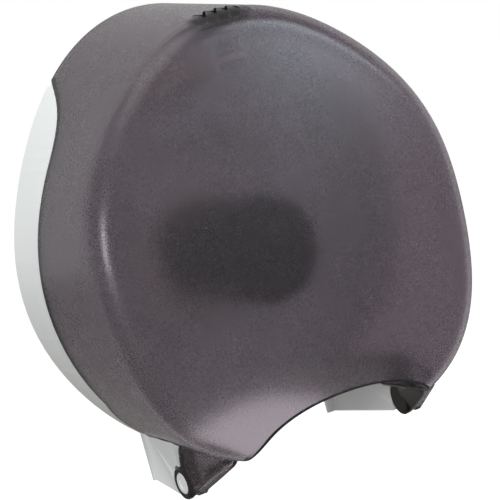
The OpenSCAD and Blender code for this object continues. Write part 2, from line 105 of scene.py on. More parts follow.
class CoverSettings(bpy.types.PropertyGroup):
    """Sizes and finish of the smoke cover."""

    outline_radius: length("Outline radius", "Mean radius of the outline at the wall", 0.1395)
    depth: length("Depth", "Wall to the edge where the front rounds over", 0.1215)
    shoulder: length("Shoulder", "Radius between the side wall and the front", 0.0165)
    crown: length("Crown", "Height of the dome of the front face", 0.0075)
    drop: length("Front drop", "Drop of the front outline below the wall outline", 0.0042)
    lean: tilt("Lean", "Forward lean of the front", 2.9)
    wall: length("Wall", "Wall thickness", 0.0026)
    seam_gap: length("Seam gap", "Gap along the seam", 0.0007)
    # Painted shade: a band of the wall this wide along the seam and the arch is painted near black, standing
    # in for the shadow in the seam gap and the dark look of the edges
    rim: length("Rim", "Width of the black look along the cut edges", 0.0011)
    around: IntProperty(name="Facets around", description="Facets of the outline", default=320, min=64)
    tint: colour("Tint", "Colour of light that has passed through the wall", (0.32, 0.28, 0.31))
    # Painted shade: near-black colour painted on the wall's cut faces and edge bands, in place of the shadow
    # in the seam gap and the dark look of the edges
    edge: colour("Edge", "Colour of the cut edges of the wall", (0.008, 0.007, 0.008))
    gloss: share("Roughness", "Satin of both faces of the wall", 0.27)
    clear: share("Clearness", "Share of the light that isn't scattered in the wall", 0.97)
    bend: FloatProperty(name="IOR", description="Refraction of the wall", default=1.38, min=1, max=2)


class HousingSettings(bpy.types.PropertyGroup):
    """Finish of the pale mouldings."""

    tone: colour("Colour", "Colour of the pale mouldings", (0.76, 0.805, 0.80))
    gloss: share("Roughness", "Satin of the pale mouldings", 0.42)


class HubSettings(bpy.types.PropertyGroup):
    """Sizes and finish of the roll hub."""

    webs: IntProperty(name="Webs", description="Webs inside the drum", default=6, min=3)
    web_thickness: length("Web", "Thickness of a web", 0.002)
    drum_wall: length("Drum wall", "Wall of the drum", 0.0024)
    tone: colour("Colour", "Colour of the black mouldings", (0.012, 0.011, 0.015))
    gloss: share("Roughness", "Satin of the black mouldings", 0.4)


class LatchSettings(bpy.types.PropertyGroup):
    """Sizes of the screws and the tear strips."""

    screw_head: length("Screw head", "Radius of a screw head", 0.0036)
    cross: length("Cross", "Width of the cross recess of a screw", 0.0009)
    teeth: IntProperty(name="Teeth", description="Teeth of a tear strip", default=18, min=4)
    tooth: length("Tooth", "Height of a tooth", 0.0016)


class StageSettings(bpy.types.PropertyGroup):
    """Camera and light."""

    turn: tilt("Turn", "Camera's turn to the left", 26.498)
    rise: tilt("Rise", "Camera's height angle", 8.024)
    roll: tilt("Roll", "Camera's roll", 15.157)
    distance: length("Distance", "Camera to the middle of the object", 1.5823)
    lens: FloatProperty(name="Lens", description="Focal length", default=174.61, unit="CAMERA")
    sky: FloatProperty(name="Sky", description="Strength of the even light", default=0.62, min=0)
    floor_drop: length("Floor", "Depth of the floor below the origin", 0.34)


def settings():
    """The values of the panel."""
    return bpy.context.scene.dispenser


def add(tree, kind, inputs=None, **values):
    """A node with its settings, and with values or links on its inputs."""
    made = tree.nodes.new(kind)
    for key, value in values.items():
        setattr(made, key, value)
    for key, value in (inputs or {}).items():
        if isinstance(value, bpy.types.NodeSocket):
            tree.links.new(value, made.inputs[key])
        else:
            made.inputs[key].default_value = value
    return made


# Variation that all finishes share: size of the cloud, ends of the colour ramp, height of the grain
CLOUD_SCALE = 22.0
RAMP_LOW = 0.3
RAMP_HIGH = 0.7
BUMP_STRENGTH = 0.35


def finish(name, tone, roughness, grain, relief, streak=(1, 1, 1), swing=0.06, shift=0.05, **sockets):
    """A moulded or metal surface: fine grain and broad cloud move its colour, gloss and relief a little."""
    found = bpy.data.materials.get(name)
    if found:
        return found
    material = bpy.data.materials.new(name)
    material.use_nodes = True
    tree = material.node_tree
    shader = tree.nodes["Principled BSDF"]
    place = add(tree, "ShaderNodeTexCoord").outputs["Object"]
    along = add(tree, "ShaderNodeMapping", {"Vector": place, "Scale": streak}).outputs["Vector"]
    fine = add(tree, "ShaderNodeTexNoise", {"Vector": along, "Scale": grain, "Detail": 3.0})
    cloud = add(tree, "ShaderNodeTexNoise", {"Vector": place, "Scale": CLOUD_SCALE, "Detail": 2.0})
    both = add(tree, "ShaderNodeMath", {0: fine.outputs["Fac"], 1: cloud.outputs["Fac"]})
    half = add(tree, "ShaderNodeMath", {0: both.outputs[0], 1: 0.5}, operation="MULTIPLY")
    ramp = add(tree, "ShaderNodeValToRGB", {"Fac": half.outputs[0]})
    ramp.color_ramp.elements[0].position = RAMP_LOW
    ramp.color_ramp.elements[0].color = [c * (1 - shift) for c in tone] + [1]
    ramp.color_ramp.elements[1].position = RAMP_HIGH
    ramp.color_ramp.elements[1].color = [min(1, c * (1 + shift)) for c in tone] + [1]
    tree.links.new(ramp.outputs["Color"], shader.inputs["Base Color"])
    satin = add(tree, "ShaderNodeMapRange", {
        "Value": half.outputs[0], "From Min": RAMP_LOW, "From Max": RAMP_HIGH,
        "To Min": roughness - swing, "To Max": roughness + swing,
    })
    tree.links.new(satin.outputs["Result"], shader.inputs["Roughness"])
    bump = add(tree, "ShaderNodeBump", {
        "Strength": BUMP_STRENGTH, "Distance": relief, "Height": fine.outputs["Fac"],
    })
    tree.links.new(bump.outputs["Normal"], shader.inputs["Normal"])
    for key, value in sockets.items():
        shader.inputs[key.replace("_", " ")].default_value = value
    return material


def smoke_plastic():
    cover = settings().cover
    return finish(
        "smoke plastic", cover.tint, cover.gloss, grain=900.0, relief=0.000004, swing=0.02, shift=0.02,
        Transmission_Weight=cover.clear, IOR=cover.bend,
    )


# Painted shade: near-black finish for the wall's cut faces and edge bands, in place of the shadow along the
# seam gap and the dark look of the edges
def smoke_edge_shade():
    return finish("smoke edge", settings().cover.edge, roughness=0.3, grain=900.0, relief=0.00002, swing=0.04)


def pale_plastic():
    housing = settings().housing
    return finish("pale plastic", housing.tone, housing.gloss, grain=1400.0, relief=0.00006, shift=0.015)


def black_plastic():
    hub = settings().hub
    return finish("black plastic", hub.tone, hub.gloss, grain=1100.0, relief=0.00008, shift=0.15)


def natural_plastic():
    tone = SLOT_COLOUR["natural_plastic"]
    return finish("natural plastic", tone, roughness=0.36, grain=700.0, relief=0.00004, shift=0.03)


def zinc_steel():
    return finish(
        "zinc steel", SLOT_COLOUR["zinc_steel"], roughness=0.34, grain=500.0, relief=0.00003,
        streak=(1, 8, 1), swing=0.1, shift=0.1, Metallic=1.0,
    )


FINISHES = {
    "smoke_plastic": smoke_plastic,
    "pale_plastic": pale_plastic,
    "black_plastic": black_plastic,
    "natural_plastic": natural_plastic,
    "zinc_steel": zinc_steel,
}


def new_object(name, mesh, material=None):
    """Links a mesh as an object at the origin."""
    made = bpy.data.objects.new(name, mesh)
    bpy.context.scene.collection.objects.link(made)
    if material:
        made.data.materials.clear()
        made.data.materials.append(material)
    return made


def solid(name, points, faces, material=None):
    """An object of these points and faces."""
    mesh = bpy.data.meshes.new(name)
    mesh.from_pydata(points, [], faces)
    mesh.validate()
    return new_object(name, mesh, material)


def outward_faces(piece):
    """Points the faces of a closed piece outwards."""
    work = bmesh.new()
    work.from_mesh(piece.data)
    bmesh.ops.recalc_face_normals(work, faces=work.faces)
    work.to_mesh(piece.data)
    work.free()


def closed_solid(name, points, faces, material=None):
    """A closed form whose faces may be listed either way round."""
    piece = solid(name, points, faces, material)
    outward_faces(piece)
    return piece


def plain_mesh(piece):
    """Turns the evaluated piece into a plain mesh of its own, with no modifier left."""
    graph = bpy.context.evaluated_depsgraph_get()
    mesh = bpy.data.meshes.new_from_object(piece.evaluated_get(graph), depsgraph=graph)
    piece.modifiers.clear()
    old = piece.data
    piece.data = mesh
    if old.users == 0:
        bpy.data.meshes.remove(old)
    mesh.name = piece.name


def carve(piece, tool, operation="DIFFERENCE"):
    """Joins the tool to the piece, cuts it away or keeps what both share, and removes the tool."""
    step = piece.modifiers.new("carve", "BOOLEAN")
    step.operation = operation
    step.object = tool
    step.solver = "MANIFOLD"
    step.material_mode = "TRANSFER"
    plain_mesh(piece)
    bpy.data.objects.remove(tool)
    return piece


def join(piece, other):
    """Makes one plain mesh of two pieces."""
    work = bmesh.new()
    work.from_mesh(piece.data)
    work.from_mesh(other.data)
    work.to_mesh(piece.data)
    work.free()
    bpy.data.objects.remove(other)
    return piece


def smooth(piece, angle):
    """Shades the piece smooth, apart from edges sharper than this angle in degrees."""
    piece.data.shade_smooth()
    piece.data.set_sharp_from_angle(angle=math.radians(angle))


def soften(piece, width):
    """Rounds the moulded edges."""
    step = piece.modifiers.new("soften", "BEVEL")
    step.width = width
    step.segments = 2
    step.limit_method = "ANGLE"
    step.angle_limit = math.radians(SOFT_ANGLE)
    step.harden_normals = False
    plain_mesh(piece)


def merged_copy(node, name, material):
    """A copy of a node's mesh with its triangles joined up and its flat faces made whole."""
    piece = new_object(name, frame["nodes"][node].data.copy(), material)
    work = bmesh.new()
    work.from_mesh(piece.data)
    bmesh.ops.remove_doubles(work, verts=work.verts, dist=MERGE_REACH)
    flat = math.radians(FLAT_ANGLE)
    bmesh.ops.dissolve_limit(work, angle_limit=flat, verts=work.verts, edges=work.edges)
    work.to_mesh(piece.data)
    work.free()
    for face in piece.data.polygons:
        face.material_index = 0
    return piece


def dress(piece, node):
    """The piece stands for this node: it rides on the node's body and has its finish."""
    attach(piece, BODY_OF[node])
    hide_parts(node)


def prism(name, outline, low, high, plane="side", material=None):
    """Extrudes a side view (Y, Z) along X, or a front view (X, Z) along Y."""
    def point(a, b, depth):
        return (depth, a, b) if plane == "side" else (a, depth, b)

    count = len(outline)
    points = [point(a, b, low) for a, b in outline] + [point(a, b, high) for a, b in outline]
    faces = [list(range(count - 1, -1, -1)), list(range(count, 2 * count))]
    faces += [[k, (k + 1) % count, count + (k + 1) % count, count + k] for k in range(count)]
    return closed_solid(name, points, faces, material)


def box(name, low, high, material=None):
    """A box between two corners."""
    x0, y0, z0 = low
    x1, y1, z1 = high
    return prism(name, [(y0, z0), (y1, z0), (y1, z1), (y0, z1)], x0, x1, material=material)


def turned(name, profile, place, material, facets=72):
    """Turns a profile of (distance along Z, radius) about Z and puts it in its place."""
    rings = [(math.cos(2 * math.pi * k / facets), math.sin(2 * math.pi * k / facets)) for k in range(facets)]
    points = [tuple(place @ Vector((radius * a, radius * b, z))) for z, radius in profile for a, b in rings]
    last = (len(profile) - 1) * facets
    faces = [list(range(facets)), list(range(last, last + facets))]
    for ring in range(len(profile) - 1):
        for k in range(facets):
            a = ring * facets + k
            b = ring * facets + (k + 1) % facets
            faces.append([a, b, b + facets, a + facets])
    return closed_solid(name, points, faces, material)


def across_axis(side):
    """Places a turned piece about the hinge axis, pointing outward on this side."""
    turn = Matrix(((0, 0, side), (1, 0, 0), (0, side, 0))).to_4x4()
    return Matrix.Translation((0, HINGE[1], HINGE[2])) @ turn


def rod_across(name, radius, x0, x1, y, z, material, facets=96):
    """A round rod along X about a point of the side view."""
    outline = [
        (y + radius * math.cos(2 * math.pi * k / facets), z + radius * math.sin(2 * math.pi * k / facets))
        for k in range(facets)
    ]
    return prism(name, outline, x0, x1, material=material)


def repeat_tree():
    """Copies an object round a ring: the X axis of each copy points away from the middle."""
    found = bpy.data.node_groups.get("ring of copies")
    if found:
        return found
    tree = bpy.data.node_groups.new("ring of copies", "GeometryNodeTree")
    sockets = (
        ("Piece", "NodeSocketObject"), ("Count", "NodeSocketInt"), ("Radius", "NodeSocketFloat"),
        ("Start", "NodeSocketFloat"), ("Step", "NodeSocketFloat"), ("Turn", "NodeSocketVector"),
        ("Place", "NodeSocketVector"), ("Material", "NodeSocketMaterial"),
    )
    for name, kind in sockets:
        tree.interface.new_socket(name, in_out="INPUT", socket_type=kind)
    tree.interface.new_socket("Geometry", in_out="OUTPUT", socket_type="NodeSocketGeometry")
    given = add(tree, "NodeGroupInput").outputs
    index = add(tree, "GeometryNodeInputIndex").outputs[0]
    turn = {0: index, 1: given["Step"], 2: given["Start"]}
    angle = add(tree, "ShaderNodeMath", turn, operation="MULTIPLY_ADD")
    reach = []
    for side in ("COSINE", "SINE"):
        part = add(tree, "ShaderNodeMath", {0: angle.outputs[0]}, operation=side)
        long = {0: part.outputs[0], 1: given["Radius"]}
        reach.append(add(tree, "ShaderNodeMath", long, operation="MULTIPLY"))
    spot = add(tree, "ShaderNodeCombineXYZ", {"X": reach[0].outputs[0], "Y": reach[1].outputs[0]})
    points = add(tree, "GeometryNodePoints", {"Count": given["Count"], "Position": spot.outputs[0]})
    facing = add(tree, "ShaderNodeCombineXYZ", {"Z": angle.outputs[0]})
    shape = add(tree, "GeometryNodeObjectInfo", {"Object": given["Piece"]})
    copies = add(tree, "GeometryNodeInstanceOnPoints", {
        "Points": points.outputs[0], "Instance": shape.outputs["Geometry"], "Rotation": facing.outputs[0],
    })
    placed = add(tree, "GeometryNodeTransform", {
        "Geometry": copies.outputs[0], "Translation": given["Place"], "Rotation": given["Turn"],
    })
    real = add(tree, "GeometryNodeRealizeInstances", {"Geometry": placed.outputs[0]})
    paint = {"Geometry": real.outputs[0], "Material": given["Material"]}
    painted = add(tree, "GeometryNodeSetMaterial", paint)
    add(tree, "NodeGroupOutput", {"Geometry": painted.outputs[0]})
    return tree


def repeated(name, piece, material, **given):
    """A plain mesh of the copies; the piece they were made from is removed."""
    tree = repeat_tree()
    holder = new_object(name, bpy.data.meshes.new(name))
    step = holder.modifiers.new("repeat", "NODES")
    step.node_group = tree
    given.update(Piece=piece, Material=material)
    for item in tree.interface.items_tree:
        if item.in_out == "INPUT":
            step[item.identifier] = given[item.name]
    plain_mesh(holder)
    bpy.data.objects.remove(piece)
    return holder


def bezier(a, b, c, d, steps):
    """Points of a cubic curve from a to d, drawn towards b and c on the way."""
    points = []
    for k in range(steps + 1):
        t = k / steps
        s = 1 - t
        points.append(tuple(
            s ** 3 * a[i] + 3 * s * s * t * b[i] + 3 * s * t * t * c[i] + t ** 3 * d[i] for i in (0, 1)
        ))
    return points


def arc(y, z, radius, start, end, steps):
    """Points of an arc about (y, z), from one angle in degrees to another."""
    angles = [math.radians(start + (end - start) * k / steps) for k in range(steps + 1)]
    return [(y + radius * math.cos(a), z + radius * math.sin(a)) for a in angles]


def circle(y, z, radius, step):
    """Points of a whole circle about (y, z), one every step degrees."""
    return arc(y, z, radius, 0, 360 - step, 360 // step - 1)


# These sizes are in metres and these angles in degrees: X to the right, -Y off the wall, Z up.

# Edges that are sharper than these angles look sharp
SHELL_SHARP = 24
SMALL_SHARP = 30
SCREW_SHARP = 40

# Edges and flat faces of the pieces that keep their own shape
SOFT_ANGLE = 35
FLAT_ANGLE = 0.6
MERGE_REACH = 2e-6

# Cutters: how far they pass the face that they cut, and their far end
CUT_ROOM = 0.001
FAR = 0.3

# Dome of the cover: waves of its outline at the wall and at the front, and its steps
REAR_SHAPE = (0.072, 0.018, 0.020, 0)
FRONT_SHAPE = (0.026, 0.031, -0.017, 0.019)
SIDE_STEPS = 10
SHOULDER_STEPS = 12
CROWN_STEPS = 16

# Seam between cover and housing in side view
SEAM_TOP = 0.124
SEAM_LOW = 0.0355
SEAM_WIDE = 0.047
SEAM_SHOULDER_DROP = 0.046
SEAM_TOP_HANDLE = (0.022, 0.011)
SEAM_BEND_DROP = 0.021
SEAM_EASE = 0.001
SEAM_MIDDLE_Z = 0.050
SEAM_END_Z = 0.010
SEAM_STEPS = 24
WALL_GAP = 0.001
BEHIND_WALL = 0.01
SWEEP_RADIUS = 0.070
LEG_TOP = 0.1195
TIP_DEPTH = 0.078

# Arch of the paper outlet
ARCH_TOP = 0.109
ARCH_HALF = 0.079
ARCH_LOW = 0.150
ARCH_FLAT = 0.58
ARCH_SIDE = 0.92
ARCH_SAG = 0.015
ARCH_STEPS = 48

# Feet and their ears; each knuckle is its X, depth, drop below the origin and radius
FOOT_X = 0.091
FOOT_BACK = 0.079
EAR_RADIUS = 0.011
EAR_RIM = 0.0012
EAR_BEVEL = (0.0004, 0.0005)
EAR_WIDTH = 0.012
EAR_STEP = 4
KNUCKLES = ((0.076, 0.117, 0.127, 0.008), (0.082, 0.086, 0.114, 0.006))
KNUCKLE_LEVELS = 12
KNUCKLE_RISE = 7
KNUCKLE_STEP = 8
TONGUE_X = 0.085
TONGUE_HALF = 0.0028
TONGUE_RADIUS = 0.0104
SLOT_TURN = 42.6
SLOT_ROOM = 0.003
SLOT_STEPS = 24
OPEN_ANGLE = 100

# Hinge pins
PIN_RADIUS = 0.0075
PIN_FLOOR = 0.0015
PIN_CHAMFER = 0.0009
PIN_DIMPLE = 0.0007
DIMPLE_RIM = 0.55
DIMPLE_FLOOR = 0.45
RUN_GAP = 0.00005

# Key slot and the pad that it is cut in
PAD_HALF = 0.021
PAD_FRONT = 0.126
PAD_BACK = 0.093
PAD_Z = 0.13583
PAD_HEIGHT = 0.02
KEY_Y = 0.115
KEY_STROKES = 7
KEY_LEAN = 0.0012
KEY_PITCH = 0.0068
KEY_REACH = 0.012
KEY_CUT = 0.0018

# Tear strips
STRIP_SEAT = 0.0007
STRIP_TIP = 0.0003
STRIP_BAND = 0.0032
STRIP_START = 100
STRIP_END = 250
STRIP_STEPS = 48
TOOTH_ROOT = 0.0004

# Screws: the dome is in shares of the head's height and radius
SCREW_DOME = ((1, 0.45), (0.9, 0.7), (0.6, 0.92), (0.25, 1), (0, 1))
CROSS_REACH = 0.6
CROSS_FLOOR = 0.35
SCREW_FACETS = 48
SHANK_RADIUS = 0.00185
PLATE_SCREW_REACH = 0.0065
PLATE_SCREW_HEIGHT = 0.0022
FLANGE_SCREW_RING = 0.037
CATCH_SCREW_HEAD = 0.0028
CATCH_SCREW_HEIGHT = 0.0012
CATCH_SCREW_RING = 0.014

# Drum of the hub
DRUM_CORE = 0.015
DRUM_CHAMFER = 0.0006
DRUM_FACETS = 144
CORE_FACETS = 96
CORE_REAR_GAP = 0.004
CORE_FRONT_GAP = 0.001
WEB_END_GAP = 0.006
BUSH_SEAT = 0.0121
BUSH_ROOM = 0.01


def outline_radius(angle, shape):
    """Radius of the outline at an angle from the top."""
    mean = settings().cover.outline_radius
    return mean * (1 + sum(wave * math.cos((k + 2) * angle) for k, wave in enumerate(shape)))


def skin_point(angle, t, inset, trim, ahead, u, back):
    """A point of the skin: t runs from the wall to the shoulder, u from the rim to the middle."""
    cover = settings().cover
    rear = outline_radius(angle, REAR_SHAPE) - inset
    front = (outline_radius(angle, FRONT_SHAPE) - inset - trim) * u
    front_y = -cover.depth - ahead + math.tan(cover.lean) * front * math.cos(angle)
    radius = rear + (front - rear) * t
    return (
        radius * math.sin(angle),
        back + (front_y - back) * t,
        radius * math.cos(angle) - cover.drop * t,
    )


def body_form(name, inset, back, material):
    """Closed solid of the whole body, drawn in by inset on its side and front."""
    cover = settings().cover
    round_r = cover.shoulder - inset
    rings = [(k / SIDE_STEPS, 0, 0, 1) for k in range(SIDE_STEPS + 1)]
    for k in range(1, SHOULDER_STEPS + 1):
        turn = math.pi / 2 * k / SHOULDER_STEPS
        rings.append((1, round_r * (1 - math.cos(turn)), round_r * math.sin(turn), 1))
    for k in range(1, CROWN_STEPS):
        u = 1 - k / CROWN_STEPS
        rings.append((1, round_r, round_r + cover.crown * (1 - u * u), u))
    count = cover.around
    points = [
        skin_point(2 * math.pi * k / count, t, inset, trim, ahead, u, back)
        for t, trim, ahead, u in rings
        for k in range(count)
    ]
    points.append(skin_point(0, 1, inset, round_r, round_r + cover.crown, 0, back))
    faces = [list(range(count))]
    for ring in range(len(rings) - 1):
        for k in range(count):
            a = ring * count + k
            b = ring * count + (k + 1) % count
            faces.append([a, b, b + count, a + count])
    last = (len(rings) - 1) * count
    faces += [[last + k, last + (k + 1) % count, len(points) - 1] for k in range(count)]
    return closed_solid(name, points, faces, material)


def seam_line(shift):
    """The seam in side view, from the wall at the top down to the arc about the hinge."""
    turn = math.acos((-HINGE[1] - SEAM_LOW) / SWEEP_RADIUS)
    low_z = HINGE[2] + SWEEP_RADIUS * math.sin(turn)
    shoulder_z = SEAM_TOP - SEAM_SHOULDER_DROP
    upper = bezier(
        (-shift, SEAM_TOP), (-SEAM_TOP_HANDLE[0] - shift, SEAM_TOP - SEAM_TOP_HANDLE[1]),
        (-SEAM_WIDE - shift, SEAM_TOP - SEAM_BEND_DROP), (-SEAM_WIDE - shift, shoulder_z), SEAM_STEPS,
    )
    lower = bezier(
        (-SEAM_WIDE - shift, shoulder_z), (-SEAM_WIDE + SEAM_EASE - shift, SEAM_MIDDLE_Z),
        (-SEAM_LOW - shift, SEAM_END_Z), (-SEAM_LOW - shift, low_z), SEAM_STEPS,
    )
    end = math.asin((-HINGE[2] - LEG_TOP + shift) / (SWEEP_RADIUS - shift))
    ends = math.degrees(turn), math.degrees(end)
    tail = arc(HINGE[1], HINGE[2], SWEEP_RADIUS - shift, *ends, SEAM_STEPS)
    return upper + lower[1:] + tail


def cover_region():
    """Side view of everything in front of the seam line."""
    gap = settings().cover.seam_gap
    line = [p for p in seam_line(gap) if p[0] < -WALL_GAP]
    return [(-WALL_GAP, FAR), (-WALL_GAP, SEAM_TOP)] + line + [
        (-TIP_DEPTH - gap, -LEG_TOP + gap), (-TIP_DEPTH - gap, -FAR), (-FAR, -FAR), (-FAR, FAR),
    ]


def behind_seam(shift):
    """Side view of everything between the wall and the seam line."""
    foot_y = -TIP_DEPTH - shift
    return [(BEHIND_WALL, SEAM_TOP)] + seam_line(shift) + [
        (foot_y, -LEG_TOP + shift), (foot_y, -FAR), (BEHIND_WALL, -FAR),
    ]


def arch_region(grow=0.0):
    """Front view of the paper arch, made wider and higher by grow."""
    half = ARCH_HALF + grow
    top = grow - ARCH_TOP
    end = (half, -ARCH_LOW)
    side = bezier((0, top), (ARCH_FLAT * half, top), (ARCH_SIDE * half, top - ARCH_SAG), end, ARCH_STEPS)
    other = [(-x, z) for x, z in reversed(side[1:])]
    return [(-half, -FAR)] + other + side + [(half, -FAR)]


def split_shade_rim(cover, outline, plane, edge):
    """Splits off the part of the cover within an outline: it is painted near black as shade along the wall's
    edges.
    """
    rim = new_object("rim", cover.data.copy())
    carve(rim, prism("near", outline, -FAR, FAR, plane=plane, material=edge), "INTERSECT")
    carve(cover, prism("near", outline, -FAR, FAR, plane=plane, material=edge))
    return rim


def foot_form(side, inset):
    """Smooth skin of a foot from the dome's lower corner down to its ear, drawn in by inset."""
    outer = FOOT_X - inset
    radius = EAR_RADIUS - inset
    points = []
    inner = FOOT_X - EAR_WIDTH + inset
    for x, reach in ((inner, radius), (outer - EAR_RIM, radius), (outer, radius - EAR_RIM)):
        points += [(side * x, y, z) for y, z in circle(HINGE[1], HINGE[2], reach, EAR_STEP)]
    for x, depth, drop, reach in KNUCKLES:
        for k in range(-KNUCKLE_LEVELS, KNUCKLE_LEVELS + 1):
            rise = math.radians(k * KNUCKLE_RISE)
            level = (reach - inset) * math.sin(rise)
            ring = circle(-depth, x, (reach - inset) * math.cos(rise), KNUCKLE_STEP)
            points += [(side * across, y, level - drop) for y, across in ring]
    work = bmesh.new()
    for point in points:
        work.verts.new(point)
    made = bmesh.ops.convex_hull(work, input=work.verts)
    left = made["geom_interior"] + made["geom_unused"]
    loose = list({item for item in left if isinstance(item, bmesh.types.BMVert)})
    bmesh.ops.delete(work, geom=loose, context="VERTS")
    mesh = bpy.data.meshes.new("foot")
    work.to_mesh(mesh)
    work.free()
    foot = new_object("foot", mesh, smoke_plastic())
    outward_faces(foot)
    # The cut face at the back of the foot takes the near-black painted shade colour
    room = box("room", (-FAR, -FAR, -FAR), (FAR, -FOOT_BACK - inset, FAR), smoke_edge_shade())
    return carve(foot, room, "INTERSECT")


def add_ear(cover, side):
    """The round end of a foot about the hinge axis, slotted for the tongue of the housing."""
    low, high = FOOT_X - EAR_WIDTH, FOOT_X
    profile = [(low, EAR_RADIUS), (high - EAR_RIM, EAR_RADIUS),
               (high - EAR_BEVEL[0], EAR_RADIUS - EAR_BEVEL[1]), (high, EAR_RADIUS - EAR_RIM)]
    carve(cover, turned("ear", profile, across_axis(side), smoke_plastic()), "UNION")
    slot = sorted((side * (TONGUE_X - TONGUE_HALF), side * (TONGUE_X + TONGUE_HALF)))
    # The cut faces of the slot and its sweep take the near-black painted shade colour
    carve(cover, rod_across("slot", TONGUE_RADIUS, *slot, HINGE[1], HINGE[2], smoke_edge_shade()))
    last = -OPEN_ANGLE - SLOT_TURN
    swept = arc(HINGE[1], HINGE[2], EAR_RADIUS + SLOT_ROOM, SLOT_TURN, last, SLOT_STEPS)
    carve(cover, prism("sweep", [(HINGE[1], HINGE[2])] + swept, *slot, material=smoke_edge_shade()))


def key_strokes():
    """Corners of the zigzag key slot, seen from above."""
    span = (KEY_STROKES + 1) / 2 * KEY_LEAN + (KEY_STROKES - 1) / 2 * KEY_PITCH
    return [
        (
            k // 2 * (KEY_LEAN + KEY_PITCH) + k % 2 * KEY_LEAN - span / 2,
            -KEY_Y + (0.5 if k % 2 == 0 else -0.5) * KEY_REACH,
        )
        for k in range(KEY_STROKES + 1)
    ]


def stroke_box(start, end, width, z0, z1, material):
    """An upright cutter along one stroke of the key slot."""
    along = Vector((end[0] - start[0], end[1] - start[1], 0))
    reach = along.length / 2 + width / 2
    turn = Matrix.Rotation(math.atan2(along.y, along.x), 4, "Z")
    place = Matrix.Translation(((start[0] + end[0]) / 2, (start[1] + end[1]) / 2, 0))
    corners = [(-reach, -width / 2), (reach, -width / 2), (reach, width / 2), (-reach, width / 2)]
    points = [tuple(place @ turn @ Vector((x, y, z))) for z in (z0, z1) for x, y in corners]
    faces = [[3, 2, 1, 0], [4, 5, 6, 7], [0, 1, 5, 4], [1, 2, 6, 5], [2, 3, 7, 6], [3, 0, 4, 7]]
    return solid("stroke", points, faces, material)


def cut_key_slot(piece, material):
    """Cuts the zigzag down through the pad."""
    corners = key_strokes()
    for start, end in zip(corners, corners[1:]):
        carve(piece, stroke_box(start, end, KEY_CUT, PAD_Z - CUT_ROOM, FAR, material))


def build_cover():
    """The domed wall with its feet, bores, arch, key slot, and edges painted near black as shade."""
    wall = settings().cover.wall
    smoke = smoke_plastic()
    # The cut faces of the region, seat, arch, key slot and bore cutters take this painted shade colour
    edge = smoke_edge_shade()
    cover = body_form("smoke_cover", 0, 0, smoke)
    carve(cover, prism("region", cover_region(), -FAR, FAR, material=edge), "INTERSECT")
    for side in (-1, 1):
        carve(cover, foot_form(side, 0), "UNION")
    inner = body_form("inner", wall, CUT_ROOM, smoke)
    pad = box("pad", (-PAD_HALF, -PAD_FRONT, PAD_Z), (PAD_HALF, -PAD_BACK, PAD_Z + PAD_HEIGHT), smoke)
    carve(inner, pad)
    carve(cover, inner)
    bore_radius = PIN_RADIUS + RUN_GAP
    bore = [(FOOT_X - EAR_WIDTH + PIN_FLOOR, bore_radius), (FOOT_X + CUT_ROOM, bore_radius)]
    seat_radius = EAR_RADIUS + STRIP_SEAT
    seat = [(FOOT_X - 2 * EAR_WIDTH, seat_radius), (FOOT_X - EAR_WIDTH, seat_radius)]
    for side in (-1, 1):
        carve(cover, foot_form(side, wall))
        carve(cover, turned("seat", seat, across_axis(side), edge))
    carve(cover, prism("arch", arch_region(), -FAR, FAR, plane="front", material=edge))
    cut_key_slot(cover, edge)
    for side in (-1, 1):
        add_ear(cover, side)
        carve(cover, turned("bore", bore, across_axis(side), edge))
    # Bands along the seam and the arch, and the ears behind the seam, get the painted shade colour
    shade_rim_width = settings().cover.rim
    shade_rims = [split_shade_rim(cover, behind_seam(settings().cover.seam_gap + shade_rim_width), "side", edge),
            split_shade_rim(cover, arch_region(shade_rim_width), "front", edge)]
    for rim in shade_rims:
        cover.data.materials.append(edge)
        for face in rim.data.polygons:
            face.material_index = len(cover.data.materials) - 1
        join(cover, rim)
    smooth(cover, SHELL_SHARP)
    dress(cover, "front_cover")


def build_housing():
    """The moulding that the wall screws hold, in the shape of its CAD node."""
    housing = merged_copy("rear_housing", "pale_housing", pale_plastic())
    smooth(housing, SHELL_SHARP)
    dress(housing, "rear_housing")


def build_pin(side, node, name):
    """A plug with a chamfered rim and a shallow dimple in its visible end."""
    low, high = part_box(node)
    inner, outer = sorted((abs(low.x), abs(high.x)))
    profile = [
        (inner, PIN_RADIUS), (outer - PIN_CHAMFER, PIN_RADIUS), (outer, PIN_RADIUS - PIN_CHAMFER),
        (outer, PIN_RADIUS * DIMPLE_RIM), (outer - PIN_DIMPLE, PIN_RADIUS * DIMPLE_FLOOR),
    ]
    pin = turned(name, profile, across_axis(side), pale_plastic())
    smooth(pin, SMALL_SHARP)
    dress(pin, node)


def ring_turn(axis):
    """Turns a ring so that its Z axis runs along X, Y or Z of the object."""
    rows = {
        "X": ((0, 0, 1), (1, 0, 0), (0, 1, 0)),
        "Y": ((0, 1, 0), (0, 0, 1), (1, 0, 0)),
        "Z": ((1, 0, 0), (0, 1, 0), (0, 0, 1)),
    }
    return tuple(Matrix(rows[axis]).to_euler())


